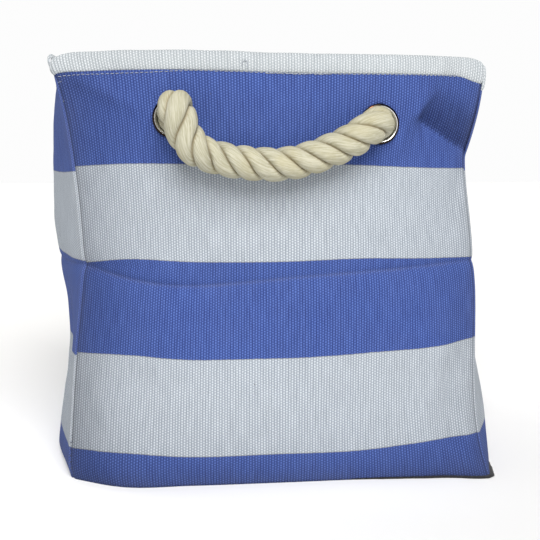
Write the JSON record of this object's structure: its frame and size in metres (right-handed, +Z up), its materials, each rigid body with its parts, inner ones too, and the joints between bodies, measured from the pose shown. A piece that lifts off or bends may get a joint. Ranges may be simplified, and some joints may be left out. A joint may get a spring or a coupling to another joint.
{
  "type": "fabric storage bin",
  "caption": "Square soft storage bin of striped canvas with a turned rim hem and a thick twisted rope handle through eyelets on its front and back.",
  "frame": {"origin": "centre of the underside, on the floor", "axes": "+Z up, -Y towards the front, which is the wall with a rope handle that the picture shows, +X to the right as seen from the front"},
  "size_m": [0.3132, 0.3474, 0.2652],
  "materials": {
    "striped_canvas": "matte coarse woven canvas printed in blue and white stripes, coated inside",
    "white_canvas": "matte coarse woven canvas, white",
    "hem_thread": "polyester sewing thread, off-white",
    "seam_thread": "polyester sewing thread, navy",
    "black_nonwoven": "black point-bonded non-woven cloth",
    "greyboard": "uncoated recycled greyboard",
    "chrome": "polished nickel-plated eyelet",
    "cotton_rope": "natural three-strand twisted cotton rope, slightly fuzzy"
  },
  "bodies": {
    "bin": {"front_panel": "striped_canvas", "back_panel": "striped_canvas", "left_panel": "striped_canvas", "right_panel": "striped_canvas", "front_rim_hem": "white_canvas", "back_rim_hem": "white_canvas", "left_rim_hem": "white_canvas", "right_rim_hem": "white_canvas", "front_hem_stitching": "hem_thread", "back_hem_stitching": "hem_thread", "left_hem_stitching": "hem_thread", "right_hem_stitching": "hem_thread", "front_left_seam_tape": "black_nonwoven", "front_right_seam_tape": "black_nonwoven", "back_left_seam_tape": "black_nonwoven", "back_right_seam_tape": "black_nonwoven", "front_left_seam_thread": "seam_thread", "front_right_seam_thread": "seam_thread", "back_left_seam_thread": "seam_thread", "back_right_seam_thread": "seam_thread", "base_panel": "black_nonwoven", "base_seam_tape": "black_nonwoven", "base_seam_thread": "seam_thread", "front_left_eyelet": "chrome", "front_right_eyelet": "chrome", "back_left_eyelet": "chrome", "back_right_eyelet": "chrome", "front_left_washer": "chrome", "front_right_washer": "chrome", "back_left_washer": "chrome", "back_right_washer": "chrome", "front_left_rope_end": "cotton_rope", "front_right_rope_end": "cotton_rope", "back_left_rope_end": "cotton_rope", "back_right_rope_end": "cotton_rope"},
    "front_handle": {"front_rope_loop": "cotton_rope"},
    "back_handle": {"back_rope_loop": "cotton_rope"},
    "board": {"base_board": "greyboard", "base_board_sleeve": "black_nonwoven"}
  },
  "joints": [
    {"name": "front_handle_swing", "type": "hinge", "parent": "bin", "child": "front_handle", "pos_m": [0, -0.1608, 0.225], "axis": [-1, 0, 0], "range_deg": [0, 150]},
    {"name": "back_handle_swing", "type": "hinge", "parent": "bin", "child": "back_handle", "pos_m": [0, 0.1608, 0.225], "axis": [1, 0, 0], "range_deg": [0, 150]},
    {"name": "base_board_lift", "type": "slide", "parent": "bin", "child": "board", "axis": [0, 0, 1], "range_m": [0, 0.16]}
  ]
}
